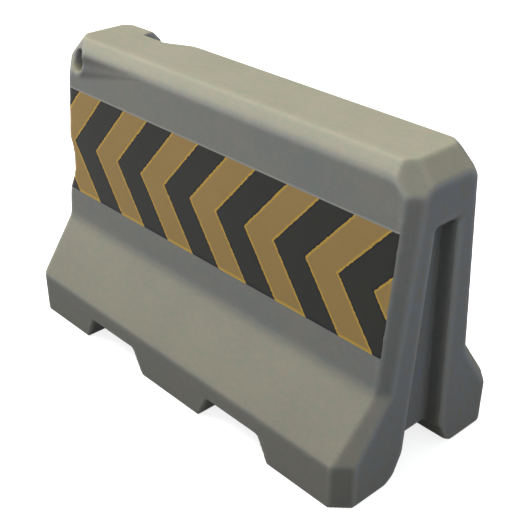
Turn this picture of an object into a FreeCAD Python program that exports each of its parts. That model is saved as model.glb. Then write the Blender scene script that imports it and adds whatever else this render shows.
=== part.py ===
import FreeCAD, Part
import os
import Sketcher

# A short road barrier cast as one block of concrete.
# Frame: +X along the barrier, +Y across it, +Z up; origin under the middle of the base.
# It stands on six feet, three along each side, with an open channel between the two rows.

SHEET = "Dimensions"
NODE = "barrier_body"
TINY = 1e-6

DIMENSIONS = (
    ("overall_length", 1250),
    ("overall_height", 800),
    # cross-section, from the floor up
    ("base_width", 558),
    ("toe_height", 125),
    ("waist_width", 318),
    ("waist_height", 274),
    ("shoulder_width", 222),
    ("crown_rise", 32),
    ("crown_width", 164),
    # slopes from the top down to each end face
    ("end_slope_setback", 48),
    ("end_slope_drop", 47),
    # upright corners, cut off wider at the feet than above the waist, and sloped at the top
    ("foot_corner", 42),
    ("wall_corner", 28),
    ("crown_corner", 22),
    ("corner_slope_drop", 63),
    # rounding of the long edges
    ("waist_radius", 60),
    ("toe_radius", 22),
    ("shoulder_radius", 30),
    ("crown_radius", 18),
    # the open space between and beside the feet
    ("clearance", 70),
    ("channel_floor_width", 244),
    ("channel_knee_width", 192),
    ("channel_knee_height", 18),
    ("channel_roof_width", 142),
    ("notch_centre", 249),
    ("notch_width", 254),
    ("notch_lean", 34),
    # the upright groove in the right-hand end
    ("groove_depth", 47),
    ("groove_height", 648),
    ("groove_top_width", 70),
    ("groove_floor_width", 140),
    ("groove_lip_radius", 14),
    # the cross slot in the left-hand end
    ("slot_depth", 47),
    ("slot_centre", 438),
    ("slot_mouth", 250),
    ("slot_root", 62),
    # the flat on the front left top corner, and the blind eye square to it
    ("eye_inset", 62),
    ("eye_reach", 109),
    ("eye_drop", 59),
    ("eye_swing", 21),
    ("eye_lift", 25),
    ("eye_radius", 29),
    ("eye_depth", 42),
    ("flat_radius", 120),
    # the scoop out of the back top edge
    ("scoop_start", 163),
    ("scoop_flat", 98),
    ("scoop_run", 77),
    ("scoop_depth", 36),
    ("scoop_drop", 60),
)


def cell(alias):
    return f"{SHEET}.{alias}"


def half(alias, sign=""):
    return f"{sign}{SHEET}.{alias} / 2"


def below_top(alias):
    """Height of something set down from the top by a size on the sheet."""
    return f"({SHEET}.overall_height - {SHEET}.{alias})"


def add_sheet(doc):
    sheet = doc.addObject("Spreadsheet::Sheet", SHEET)
    for row, (alias, value) in enumerate(DIMENSIONS, start=1):
        sheet.set(f"A{row}", alias)
        sheet.set(f"B{row}", str(value))
        sheet.setAlias(f"B{row}", alias)
    doc.recompute()


def origin_plane(body, role):
    for feature in body.Origin.OriginFeatures:
        if feature.Role == role:
            return feature
    raise ValueError(role)


def pin_coordinate(sketch, point, kind, expression, name):
    """Fix one coordinate of a line's first point to an expression on the sheet."""
    value = float(sketch.evalExpression(expression))
    if abs(value) < TINY:
        axis = -2 if kind == "DistanceX" else -1
        sketch.addConstraint(Sketcher.Constraint("PointOnObject", point, 1, axis))
        return
    ends = (-1, 1, point, 1) if value > 0 else (point, 1, -1, 1)
    index = sketch.addConstraint(Sketcher.Constraint(kind, *ends, abs(value)))
    sketch.renameConstraint(index, name)
    signed = expression if value > 0 else f"-({expression})"
    sketch.setExpression(f"Constraints.{name}", signed)


def add_profile(body, name, role, points, offset=None, turn=0):
    """Closed sketch whose corners are pairs of expressions.

    offset lifts it off its plane, and turn swings it about its own upright axis, in degrees.
    """
    sketch = body.newObject("Sketcher::SketchObject", name)
    sketch.AttachmentSupport = [(origin_plane(body, role), "")]
    sketch.MapMode = "FlatFace"
    if offset:
        sketch.setExpression("AttachmentOffset.Base.z", offset)
    if turn:
        swing = FreeCAD.Rotation(FreeCAD.Vector(0, 1, 0), turn)
        sketch.AttachmentOffset = FreeCAD.Placement(FreeCAD.Vector(), swing)
    places = [[float(sketch.evalExpression(part)) for part in point] for point in points]
    corners = [FreeCAD.Vector(x, y, 0) for x, y in places]
    for start, end in zip(corners, corners[1:] + corners[:1]):
        sketch.addGeometry(Part.LineSegment(start, end), False)
    count = len(corners)
    for line in range(count):
        following = (line + 1) % count
        sketch.addConstraint(Sketcher.Constraint("Coincident", line, 2, following, 1))
    for line, (across, up) in enumerate(points):
        pin_coordinate(sketch, line, "DistanceX", across, f"across_{line}")
        pin_coordinate(sketch, line, "DistanceY", up, f"up_{line}")
    body.Document.recompute()
    return sketch


def add_block(body):
    """The cross-section run the full length of the barrier."""
    outline = (("base_width", "0"),
               ("base_width", cell("toe_height")),
               ("waist_width", cell("waist_height")),
               ("shoulder_width", below_top("crown_rise")),
               ("crown_width", cell("overall_height")))
    right = [(half(width), height) for width, height in outline]
    left = [(half(width, "-"), height) for width, height in reversed(outline)]
    section = add_profile(body, "Section", "YZ_Plane", right + left)
    block = body.newObject("PartDesign::Pad", "Block")
    block.Profile = section
    block.SideType = "Symmetric"
    block.setExpression("Length", cell("overall_length"))
    body.Document.recompute()
    return block


def long_edges(shape, height, half_width):
    """Names of the edges along X at this height, on both sides of the block."""
    names = []
    for number, edge in enumerate(shape.Edges, start=1):
        ends = [vertex.Point for vertex in edge.Vertexes]
        level = all(abs(point.z - height) < 0.01 for point in ends)
        side = all(abs(abs(point.y) - half_width) < 0.01 for point in ends)
        along = len(ends) == 2 and abs(ends[0].y - ends[1].y) < 0.01
        if level and side and along:
            names.append(f"Edge{number}")
    return names


def add_fillet(body, name, base, edges, radius):
    fillet = body.newObject("PartDesign::Fillet", name)
    fillet.Base = (base, edges)
    fillet.setExpression("Radius", cell(radius))
    body.Document.recompute()
    return fillet


def round_long_edges(body, sheet, block):
    """Round the long edges of the cross-section, each pair with its own radius."""
    shoulder_height = sheet.overall_height - sheet.crown_rise
    rounds = (("WaistRound", sheet.waist_height, sheet.waist_width, "waist_radius"),
              ("ToeRound", sheet.toe_height, sheet.base_width, "toe_radius"),
              ("ShoulderRound", shoulder_height, sheet.shoulder_width, "shoulder_radius"),
              ("CrownRound", sheet.overall_height, sheet.crown_width, "crown_radius"))
    latest = block
    for name, height, width, radius in rounds:
        edges = long_edges(latest.Shape, height, width / 2)
        latest = add_fillet(body, name, latest, edges, radius)


def add_pocket(body, name, sketch, depth=None):
    """Cut a sketch right through both ways, or to a depth from its plane."""
    before = body.Shape.Volume
    pocket = body.newObject("PartDesign::Pocket", name)
    pocket.Profile = sketch
    if depth:
        pocket.Type = "Length"
        pocket.setExpression("Length", depth)
    else:
        pocket.SideType = "Symmetric"
        pocket.Type = "ThroughAll"
    body.Document.recompute()
    if not pocket.Shape.Volume < before - 1:
        pocket.Reversed = True
        body.Document.recompute()
    if not pocket.Shape.Volume < before - 1:
        raise RuntimeError(f"{name} removes nothing")
    return pocket


def add_mirror(body, name, feature, role):
    """Repeat a cut on the other side of one of the body's own planes."""
    pair = body.newObject("PartDesign::Mirrored", name)
    pair.Originals = [feature]
    pair.MirrorPlane = (origin_plane(body, role), [""])
    body.Tip = pair
    body.Document.recompute()
    return pair


def add_crown_ends(body):
    """Slope at each end of the top, from the end face up to the crown."""
    end = half("overall_length")
    points = [(f"{end} - {cell('end_slope_setback')}", cell("overall_height")),
              (end, below_top("end_slope_drop")), (end, cell("overall_height"))]
    sketch = add_profile(body, "CrownEndFace", "XZ_Plane", points)
    slope = add_pocket(body, "CrownEnd", sketch)
    return add_mirror(body, "CrownEndPair", slope, "YZ_Plane")


def add_corner_cuts(body):
    """Take off the four upright corners, each seen along its own diagonal."""
    end = half("overall_length")
    margin = cell("foot_corner")
    levels = ((f"-{margin}", "base_width", "foot_corner", "0"),
              (cell("toe_height"), "base_width", "foot_corner", "0"),
              (cell("waist_height"), "waist_width", "wall_corner", "0"),
              (below_top("corner_slope_drop"), "shoulder_width", "wall_corner", "0"),
              (cell("overall_height"), "crown_width", "crown_corner", cell("end_slope_setback")))
    points = []
    for height, width, corner, setback in levels:
        reach = f"({end} - {setback} + {half(width)} - {cell(corner)}) / sqrt(2)"
        points.append((reach, height))
    outside = f"({cell('overall_length')} + {cell('base_width')}) / sqrt(2)"
    points.extend(((outside, cell("overall_height")), (outside, f"-{margin}")))
    for number, turn in enumerate((45, 135, 225, 315), start=1):
        sketch = add_profile(body, f"CornerFace{number}", "XZ_Plane", points, turn=turn)
        add_pocket(body, f"Corner{number}", sketch)


def add_channel(body):
    """Lengthwise channel under the block; its sides flare out towards the floor."""
    outline = (("channel_floor_width", f"-{cell('clearance')}"),
               ("channel_floor_width", "0"),
               ("channel_knee_width", cell("channel_knee_height")),
               ("channel_roof_width", cell("clearance")))
    right = [(half(width), height) for width, height in outline]
    left = [(half(width, "-"), height) for width, height in reversed(outline)]
    sketch = add_profile(body, "ChannelSection", "YZ_Plane", right + left)
    return add_pocket(body, "Channel", sketch)


def add_notches(body):
    """Cross openings between the feet, narrower at the top, one each side of the middle."""
    outline = (("-", 0, f"-{cell('clearance')}"), ("", 0, f"-{cell('clearance')}"),
               ("", 0, "0"), ("", 1, cell("clearance")),
               ("-", 1, cell("clearance")), ("-", 0, "0"))
    points = []
    for side, lean, height in outline:
        reach = f"({half('notch_width')} - {lean} * {cell('notch_lean')})"
        points.append((f"{cell('notch_centre')} + {side}{reach}", height))
    sketch = add_profile(body, "NotchFace", "XZ_Plane", points)
    notch = add_pocket(body, "Notch", sketch)
    return add_mirror(body, "NotchPair", notch, "YZ_Plane")


def add_groove(body):
    """Upright groove in the right-hand end, running down into the channel."""
    points = [(half("groove_floor_width"), "0"), (half("groove_top_width"), cell("groove_height")),
              (half("groove_top_width", "-"), cell("groove_height")),
              (half("groove_floor_width", "-"), "0")]
    sketch = add_profile(body, "GrooveFace", "YZ_Plane", points, half("overall_length"))
    return add_pocket(body, "Groove", sketch, cell("groove_depth"))


def groove_lips(shape, sheet):
    """Names of the edges where the groove meets the right-hand end face."""
    names = []
    for number, edge in enumerate(shape.Edges, start=1):
        ends = [vertex.Point for vertex in edge.Vertexes]
        on_face = all(abs(point.x - sheet.overall_length / 2) < 0.01 for point in ends)
        inside = all(abs(point.y) < sheet.groove_floor_width / 2 for point in ends)
        above = all(sheet.clearance - 0.01 < point.z < sheet.groove_height + 0.01 for point in ends)
        if len(ends) == 2 and on_face and inside and above:
            names.append(f"Edge{number}")
    return names


def add_slot(body):
    """Cross slot in the left-hand end, wide at the mouth and narrow at the root."""
    end = half("overall_length", "-")
    root = f"{end} + {cell('slot_depth')}"
    middle = cell("slot_centre")
    points = [(end, f"{middle} - {half('slot_mouth')}"), (root, f"{middle} - {half('slot_root')}"),
              (root, f"{middle} + {half('slot_root')}"), (end, f"{middle} + {half('slot_mouth')}")]
    sketch = add_profile(body, "SlotFace", "XZ_Plane", points)
    return add_pocket(body, "EndSlot", sketch)


def aim_at_eye(sheet):
    """Rotation that points +Z out of the flat: lifted from level, and swung to the left."""
    lift = FreeCAD.Rotation(FreeCAD.Vector(1, 0, 0), 90 - sheet.eye_lift)
    swing = FreeCAD.Rotation(FreeCAD.Vector(0, 0, 1), -sheet.eye_swing)
    return swing.multiply(lift)


def cut_round(body, name, sheet, radius, inward, outward):
    """Cut a cylinder along the eye's axis, so far inward and outward of the flat."""
    before = body.Shape.Volume
    aim = aim_at_eye(sheet)
    direction = aim.multVec(FreeCAD.Vector(0, 0, 1))
    cut = body.newObject("PartDesign::SubtractiveCylinder", name)
    cut.AttachmentSupport = [(origin_plane(body, "XY_Plane"), "")]
    cut.MapMode = "FlatFace"
    cut.AttachmentOffset = FreeCAD.Placement(FreeCAD.Vector(), aim)
    cut.setExpression("Radius", cell(radius))
    cut.setExpression("Height", f"{inward} + {outward}")
    centre = (f"{half('overall_length', '-')} + {cell('eye_inset')}",
              f"-{cell('eye_reach')}", below_top("eye_drop"))
    for axis, place, part in zip("xyz", centre, direction):
        cut.setExpression(f"AttachmentOffset.Base.{axis}", f"{place} - ({inward}) * ({part})")
    body.Document.recompute()
    if not cut.Shape.Volume < before - 1:
        raise RuntimeError(f"{name} removes nothing")


def add_eye(body, sheet):
    """Blind round hole in its own flat, on the front top corner at the left-hand end."""
    cut_round(body, "EyeFlat", sheet, "flat_radius", "0", cell("flat_radius"))
    cut_round(body, "Eye", sheet, "eye_radius", cell("eye_depth"), cell("flat_radius"))


def add_scoop(body):
    """Scoop out of the back top edge: square at its left end, run out at its right."""
    start = f"({half('overall_length', '-')} + {cell('scoop_start')})"
    floor = f"({half('crown_width')} - {cell('scoop_depth')})"
    outside = cell("shoulder_width")
    slope = f"({cell('scoop_run')} / {cell('scoop_depth')})"
    bend = f"({start} + {cell('scoop_flat')})"
    points = [(start, outside), (start, floor), (bend, floor),
              (f"{bend} + ({outside} - {floor}) * {slope}", outside)]
    sketch = add_profile(body, "ScoopPlan", "XY_Plane", points, cell("overall_height"))
    return add_pocket(body, "Scoop", sketch, cell("scoop_drop"))


def build_barrier(doc, sheet):
    body = doc.addObject("PartDesign::Body", "Barrier")
    body.Label = NODE
    body.Placement = FreeCAD.Placement()
    block = add_block(body)
    round_long_edges(body, sheet, block)
    add_crown_ends(body)
    add_corner_cuts(body)
    add_channel(body)
    add_notches(body)
    groove = add_groove(body)
    lips = groove_lips(groove.Shape, sheet)
    add_fillet(body, "GrooveLipRound", groove, lips, "groove_lip_radius")
    add_slot(body)
    add_eye(body, sheet)
    add_scoop(body)
    return body


def check_document(doc):
    for item in doc.Objects:
        if "Invalid" in item.State or "Error" in item.State:
            raise RuntimeError(f"{item.Name} failed: {item.State}")


def export_parts(bodies):
    os.makedirs("parts", exist_ok=True)
    for body in bodies:
        shape = body.Shape
        if shape.isNull() or not shape.isValid():
            raise RuntimeError(f"{body.Label} has no valid shape")
        box = shape.BoundBox
        print(body.Label, "solids", len(shape.Solids), "volume", round(shape.Volume),
              "box", [round(v, 2) for v in (box.XMin, box.YMin, box.ZMin,
                                            box.XMax, box.YMax, box.ZMax)])
        shape.exportStep(os.path.join("parts", f"{body.Label}.step"))


def main():
    doc = FreeCAD.newDocument("ConcreteBarrier")
    add_sheet(doc)
    sheet = doc.getObject(SHEET)
    barrier = build_barrier(doc, sheet)
    doc.recompute()
    check_document(doc)
    export_parts([barrier])


main()
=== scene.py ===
import math
from types import SimpleNamespace

import bpy
from mathutils import Matrix, Vector


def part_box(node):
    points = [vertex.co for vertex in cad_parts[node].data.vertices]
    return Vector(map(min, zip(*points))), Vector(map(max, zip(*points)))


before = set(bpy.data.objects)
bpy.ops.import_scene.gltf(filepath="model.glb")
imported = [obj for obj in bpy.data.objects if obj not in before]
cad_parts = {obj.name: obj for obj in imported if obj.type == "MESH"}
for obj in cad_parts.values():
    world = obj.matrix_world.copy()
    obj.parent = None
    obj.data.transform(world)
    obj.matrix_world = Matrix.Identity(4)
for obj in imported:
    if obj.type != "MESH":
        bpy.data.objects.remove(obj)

# A concrete road barrier on a white floor. Lengths are in metres and angles in degrees.

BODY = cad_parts["barrier_body"]
LOW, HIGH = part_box("barrier_body")
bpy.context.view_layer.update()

# camera: stands off the barrier's right-hand end and looks down at it
CAMERA_PLACE = Vector((1.655, -1.507, 1.570))
CAMERA_AZIMUTH = 47.95
CAMERA_ELEVATION = 32.42
CAMERA_ROLL = -0.26
CAMERA_LENS = 67.7
CAMERA_SHIFT = (0.0275, 0.1045)

# painted band of chevrons along both walls
BAND_LOW = 0.364
BAND_HIGH = 0.657
CHEVRON_PITCH = 0.2036
CHEVRON_START = -0.5455
CHEVRON_POINT = 0.1253
PAINT_EDGE = 0.006
PAINT_RAGGED = 0.0016

# the mould's soft edges: grid of the smoothed skin, and how often it is smoothed
SKIN_GRID = 0.0066
SKIN_PASSES = 3

# where the painted light and shade, the stains and the paint stop and start, across, up and
# by which way a face looks
WALL_REACH = 0.10
GROOVE_REACH = 0.08
SHOULDER = 0.768
WALL_FACING = 0.93
GROOVE_FACING = 0.8
END_FACING = (0.8, 1.0)

# painted shade: dark streaks that run along the wall from the eye
STREAK_START = -0.535
STREAK_END = -0.22
STREAK_DROP = 0.080
STREAK_TIP = 0.004
STREAK_LEAD = 0.03
STREAK_RUNS = 2
STREAK_SHADE = -0.42

# painted light and shade, with some wear: tones multiply the colour, and gains and shades are
# added to 1 first;
# worn-and-highlight and crease-shade ranges are of pointiness, where 0.5 is flat
# painted shade: the faces get darker towards the floor
LOW_SHADE_HEIGHTS = (0.06, 0.70)
LOW_SHADE_TONES = (0.80, 1.0)
# painted light: the end faces are lifted out of the painted shade near the floor
END_LIGHT_TONE = 1.12
END_LIGHT_SHARE = 0.45
# painted light on the upright faces: lighter towards the left-hand end, darker towards the
# right
END_TO_END_LIGHT_GAINS = (0.05, -0.08)
# painted highlight on the shoulder bevel
SHOULDER_HIGHLIGHT_HEIGHTS = (0.748, 0.782)
SHOULDER_HIGHLIGHT_GAIN = 0.26
GROOVE_SHADE = -0.25
# pale edges, partly wear and partly painted highlight, stronger on upright faces than on top
WORN_AND_HIGHLIGHT_RANGE = (0.502, 0.53)
WORN_AND_HIGHLIGHT_TONES = (1.38, 1.12)
# painted shade in creases and hollows
CREASE_SHADE_RANGE = (0.45, 0.497)
CREASE_SHADE_TONES = (0.70, 1.0)
GRAIN_TONES = (0.94, 1.06)
MUD_HEIGHTS = (0.02, 0.22)
MUD_SHARE = 0.30
STAIN_SHARE = 0.30
# on the end faces: stain clouds, their blue partly painted cool light
END_STAIN_AND_COOL_LIGHT_SHARE = 0.6
HOLE_SHARE = 0.35
# painted highlight: a pale line along the top of the band
BAND_TOP_HIGHLIGHT_SHARE = 0.6

# how fine each pattern is: a larger number is finer
MOTTLE_SCALE = 5.0
CLOUD_SCALE = 42.0
GRAIN_SCALE = 420.0
DENT_SCALE = 60.0
RAGGED_SCALE = 140.0
HOLE_SCALE = 42.0
HOLE_RARITY = 0.86

CONCRETE_ROUGHNESS = 0.86
PAINT_ROUGHNESS = 0.55
BUMP_STRENGTH = 0.25
BUMP_DEPTH = 0.0015
SHINE = 0.12

FLOOR_RADIUS = 30.0
FLOOR_SIDES = 96
FLOOR_DROP = 0.0005
FLOOR_BOUNCE = 0.08
FLOOR_PALE = 0.9
FLOOR_GLOW = 0.8

SKY_COLOUR = (0.93, 0.965, 1.0, 1.0)
SKY_STRENGTH = 0.45
KEY_COLOUR = (1.0, 0.97, 0.90)
KEY_STRENGTH = 2.25
KEY_ANGLE = 40
KEY_FROM = Vector((-0.24, -0.10, 0.46))


def linear(*colour):
    """Screen colour, 0 to 255, as the linear colour that renders as it."""
    parts = []
    for value in colour:
        share = value / 255
        parts.append(share / 12.92 if share <= 0.04045 else ((share + 0.055) / 1.055) ** 2.4)
    return (*parts, 1.0)


# pairs are the two ends of a mottled colour
SIDE_COLOURS = (linear(155, 159, 164), linear(165, 165, 163))
# the top is warmer: partly dust and partly painted warm light
TOP_DUST_AND_WARM_LIGHT_COLOURS = (linear(164, 162, 141), linear(172, 168, 149))
STAIN_COLOURS = (linear(154, 163, 146), linear(178, 165, 150))
# end faces: stain clouds, their blue partly painted cool light
END_STAIN_AND_COOL_LIGHT_COLOURS = (linear(164, 172, 188), linear(164, 163, 157))
MUD_COLOUR = linear(158, 152, 132)
HOLE_COLOUR = linear(110, 107, 96)
# painted highlight along the top of the band
BAND_TOP_HIGHLIGHT_COLOUR = linear(214, 213, 206)
OCHRE_COLOURS = (linear(196, 163, 106), linear(176, 148, 100))
OCHRE_RIM = linear(248, 203, 92)
BLACK_COLOURS = (linear(60, 60, 57), linear(53, 53, 53))
BLACK_RIM = linear(36, 37, 50)


def grey(level):
    return (level, level, level, 1.0)


class Nodes:
    """A small helper that adds and joins the nodes of one material."""

    def __init__(self, material):
        self.tree = material.node_tree
        self.tree.nodes.clear()

    def add(self, kind, **settings):
        node = self.tree.nodes.new(kind)
        for name, value in settings.items():
            setattr(node, name, value)
        return node

    def join(self, source, target):
        self.tree.links.new(source, target)

    def feed(self, socket, value):
        if isinstance(value, bpy.types.NodeSocket):
            self.join(value, socket)
        else:
            socket.default_value = value

    def math(self, operation, first, second=0.0, third=0.0, clamp=False):
        node = self.add("ShaderNodeMath", operation=operation, use_clamp=clamp)
        for socket, value in zip(node.inputs, (first, second, third)):
            self.feed(socket, value)
        return node.outputs[0]

    def noise(self, place, scale, detail=3.0, roughness=0.5):
        node = self.add("ShaderNodeTexNoise")
        self.join(place, node.inputs["Vector"])
        node.inputs["Scale"].default_value = scale
        node.inputs["Detail"].default_value = detail
        node.inputs["Roughness"].default_value = roughness
        return node.outputs["Fac"]

    def stretch(self, place, scale):
        node = self.add("ShaderNodeMapping")
        self.join(place, node.inputs["Vector"])
        node.inputs["Scale"].default_value = scale
        return node.outputs["Vector"]

    def remap(self, value, low, high, new_low=0.0, new_high=1.0):
        node = self.add("ShaderNodeMapRange", clamp=True)
        self.join(value, node.inputs["Value"])
        for name, number in (("From Min", low), ("From Max", high),
                             ("To Min", new_low), ("To Max", new_high)):
            node.inputs[name].default_value = number
        return node.outputs["Result"]

    def product(self, *values):
        """All the values multiplied together."""
        total = values[0]
        for value in values[1:]:
            total = self.math("MULTIPLY", total, value)
        return total

    def mix_value(self, share, first, second):
        """A plain number between the first and the second."""
        node = self.add("ShaderNodeMix", data_type="FLOAT")
        self.feed(node.inputs[0], share)
        self.feed(node.inputs[2], first)
        self.feed(node.inputs[3], second)
        return node.outputs[0]

    def scaled(self, colour, factor):
        node = self.add("ShaderNodeVectorMath", operation="SCALE")
        self.join(colour, node.inputs[0])
        self.feed(node.inputs["Scale"], factor)
        return node.outputs[0]

    def mix(self, share, first, second):
        """A colour between the first and the second."""
        node = self.add("ShaderNodeMix", data_type="RGBA")
        self.feed(node.inputs[0], share)
        self.feed(node.inputs[6], first)
        self.feed(node.inputs[7], second)
        return node.outputs[2]


def material(name):
    made = bpy.data.materials.new(name)
    made.use_nodes = True
    return made, Nodes(made)


def surface(nodes):
    """Where a point is on the barrier, which way it faces, and how far it sticks out."""
    place = nodes.add("ShaderNodeTexCoord").outputs["Object"]
    spot = nodes.add("ShaderNodeSeparateXYZ")
    nodes.join(place, spot.inputs[0])
    geometry = nodes.add("ShaderNodeNewGeometry")
    facing = nodes.add("ShaderNodeSeparateXYZ")
    nodes.join(geometry.outputs["Normal"], facing.inputs[0])
    return SimpleNamespace(
        place=place, x=spot.outputs["X"], y=spot.outputs["Y"], z=spot.outputs["Z"],
        off_middle=nodes.math("ABSOLUTE", spot.outputs["Y"]),
        endways=nodes.math("ABSOLUTE", facing.outputs["X"]),
        sideways=nodes.math("ABSOLUTE", facing.outputs["Y"]),
        up=facing.outputs["Z"], pointed=geometry.outputs["Pointiness"])


def band_mask(nodes, at):
    """1 inside the painted band: between its two edges, on the outside of the walls only."""
    above = nodes.math("GREATER_THAN", at.z, BAND_LOW)
    below = nodes.math("LESS_THAN", at.z, BAND_HIGH)
    wall = nodes.math("GREATER_THAN", at.sideways, WALL_FACING)
    outside = nodes.math("GREATER_THAN", at.off_middle, WALL_REACH)
    return nodes.product(above, below, wall, outside)


def chevron_phase(nodes, at):
    """Distance along the band in chevron pitches: whole numbers start an ochre stripe."""
    middle = (BAND_LOW + BAND_HIGH) / 2
    reach = (BAND_HIGH - BAND_LOW) / 2
    off_middle = nodes.math("ABSOLUTE", nodes.math("SUBTRACT", at.z, middle))
    closeness = nodes.math("SUBTRACT", 1.0, nodes.math("DIVIDE", off_middle, reach))
    shifted = nodes.math("MULTIPLY_ADD", closeness, CHEVRON_POINT, at.x)
    ragged = nodes.noise(at.place, RAGGED_SCALE, 2.0)
    ragged = nodes.remap(ragged, 0.3, 0.7, -PAINT_RAGGED, PAINT_RAGGED)
    from_start = nodes.math("SUBTRACT", nodes.math("ADD", shifted, ragged), CHEVRON_START)
    return nodes.math("FRACT", nodes.math("DIVIDE", from_start, CHEVRON_PITCH))


def paint_colours(nodes, at, phase, mottle):
    """Ochre and black, each a little stronger where it meets the other."""
    to_half = nodes.math("ABSOLUTE", nodes.math("SUBTRACT", phase, 0.5))
    to_edge = nodes.math("MINIMUM", to_half, nodes.math("SUBTRACT", 0.5, to_half))
    to_edge = nodes.math("MULTIPLY", to_edge, CHEVRON_PITCH)
    to_rim = nodes.math("MINIMUM", to_edge, nodes.math("SUBTRACT", at.z, BAND_LOW))
    rim = nodes.remap(to_rim, PAINT_EDGE * 0.5, PAINT_EDGE * 1.5, 1.0, 0.0)
    ochre = nodes.mix(nodes.math("MULTIPLY", mottle, 0.3), *OCHRE_COLOURS)
    ochre = nodes.mix(nodes.math("MULTIPLY", rim, 0.85), ochre, OCHRE_RIM)
    black = nodes.mix(nodes.math("MULTIPLY", mottle, 0.4), *BLACK_COLOURS)
    black = nodes.mix(nodes.math("MULTIPLY", rim, 0.7), black, BLACK_RIM)
    is_black = nodes.math("GREATER_THAN", phase, 0.5)
    return nodes.mix(is_black, ochre, black)


def concrete_colour(nodes, at, mottle, cloud, grain):
    """Cool grey on the upright faces, warmer on top from dust and painted warm light, bluish
    on the ends from stains and painted cool light, with stains and sand grain.
    """
    side = nodes.mix(mottle, *SIDE_COLOURS)
    # warmer on top: partly dust and partly painted warm light
    dusty_lit_top = nodes.mix(mottle, *TOP_DUST_AND_WARM_LIGHT_COLOURS)
    base = nodes.mix(nodes.remap(at.up, 0.15, 0.85), side, dusty_lit_top)
    base = nodes.mix(STAIN_SHARE, base, nodes.mix(cloud, *STAIN_COLOURS))
    # end faces: stain clouds, their blue partly painted cool light
    on_end = nodes.remap(at.endways, *END_FACING, 0.0, END_STAIN_AND_COOL_LIGHT_SHARE)
    base = nodes.mix(on_end, base, nodes.mix(cloud, *END_STAIN_AND_COOL_LIGHT_COLOURS))
    mud = nodes.remap(at.z, *MUD_HEIGHTS, MUD_SHARE, 0.0)
    base = nodes.mix(mud, base, MUD_COLOUR)
    return nodes.scaled(base, nodes.remap(grain, 0.3, 0.7, *GRAIN_TONES))


def eye_shade_streaks(nodes, at):
    """Painted shade: dark streaks that fan out from the eye and die away along the shoulder.
    """
    along = nodes.remap(at.x, STREAK_START, STREAK_END)
    fade = nodes.math("SUBTRACT", 1.0, along)
    spread = nodes.math("MULTIPLY_ADD", fade, STREAK_DROP, STREAK_TIP)
    down = nodes.math("DIVIDE", nodes.math("SUBTRACT", SHOULDER, at.z), spread)
    inside = nodes.product(nodes.remap(down, 0.0, 0.12),
                           nodes.remap(down, 0.75, 1.0, 1.0, 0.0))
    lines = nodes.math("COSINE", nodes.math("MULTIPLY", down, STREAK_RUNS * 2 * math.pi))
    lines = nodes.math("MULTIPLY_ADD", lines, -0.3, 0.7)
    near_side = nodes.math("LESS_THAN", at.y, 0.0)
    past_eye = nodes.remap(at.x, STREAK_START - STREAK_LEAD, STREAK_START)
    dark = nodes.product(inside, lines, fade, near_side, past_eye)
    return nodes.math("MULTIPLY_ADD", dark, STREAK_SHADE, 1.0)


def wear_and_painted_light(nodes, at):
    """How much paler or darker each place is: painted shade towards the floor, in the groove,
    in creases and in streaks from the eye; painted light on the ends, on the shoulders and
    towards the left-hand end; edges partly worn and partly given a painted highlight.
    """
    # painted shade that darkens the faces towards the floor
    low_shade_and_end_light = nodes.remap(at.z, *LOW_SHADE_HEIGHTS, *LOW_SHADE_TONES)
    # painted light on the end faces
    on_end = nodes.remap(at.endways, *END_FACING, 0.0, END_LIGHT_SHARE)
    low_shade_and_end_light = nodes.mix_value(on_end, low_shade_and_end_light, END_LIGHT_TONE)
    upright = nodes.remap(at.up, 0.5, 0.95, 1.0, 0.0)
    # painted light: lighter towards the left-hand end, darker towards the right
    along = nodes.remap(at.x, LOW.x, HIGH.x, *END_TO_END_LIGHT_GAINS)
    along = nodes.math("MULTIPLY_ADD", along, upright, 1.0)
    # painted highlight on the shoulder bevel, on faces that look neither straight up nor
    # endways
    shoulder_highlight = nodes.product(nodes.remap(at.z, *SHOULDER_HIGHLIGHT_HEIGHTS),
                          nodes.remap(at.up, 0.80, 0.96, 1.0, 0.0),
                          nodes.remap(at.endways, 0.2, 0.45, 1.0, 0.0))
    shoulder_highlight = nodes.math("MULTIPLY_ADD", shoulder_highlight, SHOULDER_HIGHLIGHT_GAIN, 1.0)
    # painted shade on the sideways faces inside the groove
    in_groove = nodes.product(nodes.math("LESS_THAN", at.off_middle, GROOVE_REACH),
                              nodes.math("GREATER_THAN", at.sideways, GROOVE_FACING))
    painted_groove_shade = nodes.math("MULTIPLY_ADD", in_groove, GROOVE_SHADE, 1.0)
    # edges: partly wear and partly painted highlight
    edge_wear_and_highlight = nodes.remap(at.up, 0.3, 0.7, *WORN_AND_HIGHLIGHT_TONES)
    worn_and_highlit = nodes.mix_value(nodes.remap(at.pointed, *WORN_AND_HIGHLIGHT_RANGE), 1.0, edge_wear_and_highlight)
    # painted shade in creases
    crease_shade = nodes.remap(at.pointed, *CREASE_SHADE_RANGE, *CREASE_SHADE_TONES)
    return nodes.product(low_shade_and_end_light, along, shoulder_highlight, painted_groove_shade, worn_and_highlit, crease_shade, eye_shade_streaks(nodes, at))


def band_top_highlight(nodes, at):
    """Painted highlight: a pale line just above the band."""
    above = nodes.remap(at.z, BAND_HIGH, BAND_HIGH + 0.001)
    below = nodes.remap(at.z, BAND_HIGH + 0.002, BAND_HIGH + 0.006, 1.0, 0.0)
    wall = nodes.math("GREATER_THAN", at.sideways, WALL_FACING)
    return nodes.product(above, below, wall)


def air_holes(nodes, place):
    """Sparse small voids left by air against the mould: 1 in a hole, 0 between."""
    cells = nodes.add("ShaderNodeTexVoronoi", feature="F1")
    nodes.join(place, cells.inputs["Vector"])
    cells.inputs["Scale"].default_value = HOLE_SCALE
    picked = nodes.add("ShaderNodeSeparateColor")
    nodes.join(cells.outputs["Color"], picked.inputs[0])
    rare = nodes.math("GREATER_THAN", picked.outputs[0], HOLE_RARITY)
    hole = nodes.remap(cells.outputs["Distance"], 0.04, 0.10, 1.0, 0.0)
    return nodes.math("MULTIPLY", hole, rare)


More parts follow.
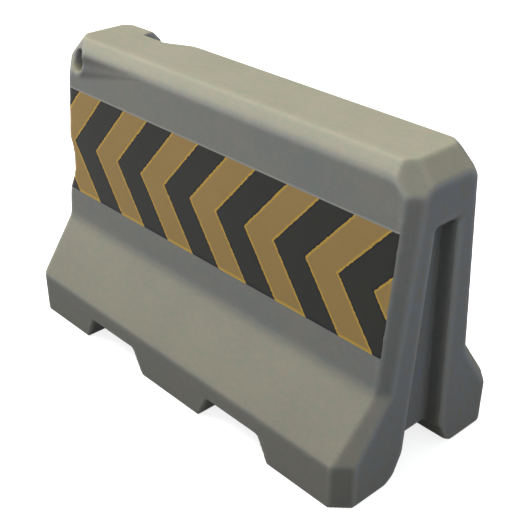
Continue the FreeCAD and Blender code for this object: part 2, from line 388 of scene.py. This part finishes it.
def make_concrete():
    made, nodes = material("painted_concrete")
    at = surface(nodes)
    mottle = nodes.remap(nodes.noise(at.place, MOTTLE_SCALE, 4.0, 0.55), 0.35, 0.65)
    cloud = nodes.noise(nodes.stretch(at.place, (1.0, 2.2, 1.0)), CLOUD_SCALE, 3.0, 0.6)
    cloud = nodes.remap(cloud, 0.4, 0.62)
    grain = nodes.noise(at.place, GRAIN_SCALE, 2.0, 0.6)
    holes = air_holes(nodes, at.place)
    # painted light and shade, with some edge wear, as one factor on the colour
    factor = wear_and_painted_light(nodes, at)

    concrete = concrete_colour(nodes, at, mottle, cloud, grain)
    concrete = nodes.mix(nodes.math("MULTIPLY", holes, HOLE_SHARE), concrete, HOLE_COLOUR)
    # painted highlight: a pale line along the top of the band
    band_highlight = nodes.math("MULTIPLY", band_top_highlight(nodes, at), BAND_TOP_HIGHLIGHT_SHARE)
    concrete = nodes.mix(band_highlight, concrete, BAND_TOP_HIGHLIGHT_COLOUR)
    paint = paint_colours(nodes, at, chevron_phase(nodes, at), mottle)
    painted = band_mask(nodes, at)
    colour = nodes.scaled(nodes.mix(painted, concrete, paint), factor)

    rough = nodes.mix(painted, grey(CONCRETE_ROUGHNESS), grey(PAINT_ROUGHNESS))
    dents = nodes.noise(at.place, DENT_SCALE)
    height = nodes.math("ADD", nodes.math("MULTIPLY", grain, 0.25),
                        nodes.math("MULTIPLY", dents, 0.5))
    height = nodes.math("SUBTRACT", height, nodes.math("MULTIPLY", holes, 0.6))
    bump = nodes.add("ShaderNodeBump")
    bump.inputs["Strength"].default_value = BUMP_STRENGTH
    bump.inputs["Distance"].default_value = BUMP_DEPTH
    nodes.join(height, bump.inputs["Height"])

    shader = nodes.add("ShaderNodeBsdfPrincipled")
    nodes.join(colour, shader.inputs["Base Color"])
    nodes.join(rough, shader.inputs["Roughness"])
    nodes.join(bump.outputs["Normal"], shader.inputs["Normal"])
    shader.inputs["Specular IOR Level"].default_value = SHINE
    output = nodes.add("ShaderNodeOutputMaterial")
    nodes.join(shader.outputs[0], output.inputs["Surface"])
    return made


def soften_edges(piece):
    """Round every edge of the casting, outside and inside, as its mould leaves them."""
    skin = piece.modifiers.new("mould_skin", "REMESH")
    skin.mode = "VOXEL"
    skin.voxel_size = SKIN_GRID
    skin.use_smooth_shade = True
    ease = piece.modifiers.new("mould_rounding", "SMOOTH")
    ease.factor = 0.5
    ease.iterations = SKIN_PASSES


def seen_or_mirrored(nodes):
    """1 for rays that reach the eye straight, off a glossy surface or through glass."""
    path = nodes.add("ShaderNodeLightPath")
    shown = nodes.math("ADD", path.outputs["Is Camera Ray"], path.outputs["Is Glossy Ray"])
    return nodes.math("ADD", shown, path.outputs["Is Transmission Ray"], clamp=True)


def make_floor():
    """White floor that keeps the object's shadow but throws little light back up."""
    bpy.ops.mesh.primitive_circle_add(vertices=FLOOR_SIDES, radius=FLOOR_RADIUS,
                                      fill_type="NGON", location=(0, 0, LOW.z - FLOOR_DROP))
    floor = bpy.context.object
    floor.name = "floor"
    made, nodes = material("floor_white")
    dim = nodes.add("ShaderNodeBsdfDiffuse")
    dim.inputs["Color"].default_value = grey(FLOOR_BOUNCE)
    pale = nodes.add("ShaderNodeBsdfDiffuse")
    pale.inputs["Color"].default_value = grey(FLOOR_PALE)
    glow = nodes.add("ShaderNodeEmission")
    glow.inputs["Strength"].default_value = FLOOR_GLOW
    both = nodes.add("ShaderNodeAddShader")
    nodes.join(pale.outputs[0], both.inputs[0])
    nodes.join(glow.outputs[0], both.inputs[1])
    choose = nodes.add("ShaderNodeMixShader")
    nodes.join(seen_or_mirrored(nodes), choose.inputs[0])
    nodes.join(dim.outputs[0], choose.inputs[1])
    nodes.join(both.outputs[0], choose.inputs[2])
    output = nodes.add("ShaderNodeOutputMaterial")
    nodes.join(choose.outputs[0], output.inputs["Surface"])
    floor.data.materials.append(made)


def make_world():
    """Cool soft light from the whole sky, which is seen as plain white."""
    world = bpy.data.worlds.new("studio")
    bpy.context.scene.world = world
    world.use_nodes = True
    nodes = Nodes(world)
    sky = nodes.add("ShaderNodeBackground")
    sky.inputs["Color"].default_value = SKY_COLOUR
    sky.inputs["Strength"].default_value = SKY_STRENGTH
    white = nodes.add("ShaderNodeBackground")
    white.inputs["Strength"].default_value = 1.0
    white.inputs["Color"].default_value = grey(1.0)
    choose = nodes.add("ShaderNodeMixShader")
    nodes.join(seen_or_mirrored(nodes), choose.inputs[0])
    nodes.join(sky.outputs[0], choose.inputs[1])
    nodes.join(white.outputs[0], choose.inputs[2])
    output = nodes.add("ShaderNodeOutputWorld")
    nodes.join(choose.outputs[0], output.inputs["Surface"])


def make_key():
    """A broad warm lamp from above and from the left-hand end."""
    lamp = bpy.data.lights.new("key", "SUN")
    lamp.energy = KEY_STRENGTH
    lamp.angle = math.radians(KEY_ANGLE)
    lamp.color = KEY_COLOUR
    key = bpy.data.objects.new("key", lamp)
    key.rotation_euler = KEY_FROM.to_track_quat("Z", "Y").to_euler()
    bpy.context.collection.objects.link(key)


def make_camera():
    lens = bpy.data.cameras.new("camera")
    lens.lens = CAMERA_LENS
    lens.sensor_width = 36.0
    lens.shift_x, lens.shift_y = CAMERA_SHIFT
    camera = bpy.data.objects.new("camera", lens)
    tilt = Matrix.Rotation(math.radians(90 - CAMERA_ELEVATION), 4, "X")
    turn = Matrix.Rotation(math.radians(CAMERA_AZIMUTH), 4, "Z")
    roll = Matrix.Rotation(math.radians(CAMERA_ROLL), 4, "Z")
    camera.matrix_world = Matrix.Translation(CAMERA_PLACE) @ turn @ tilt @ roll
    bpy.context.collection.objects.link(camera)
    bpy.context.scene.camera = camera


make_camera()
make_world()
make_key()
make_floor()
BODY.data.materials.clear()
BODY.data.materials.append(make_concrete())
soften_edges(BODY)

bpy.context.scene.view_settings.view_transform = "Standard"
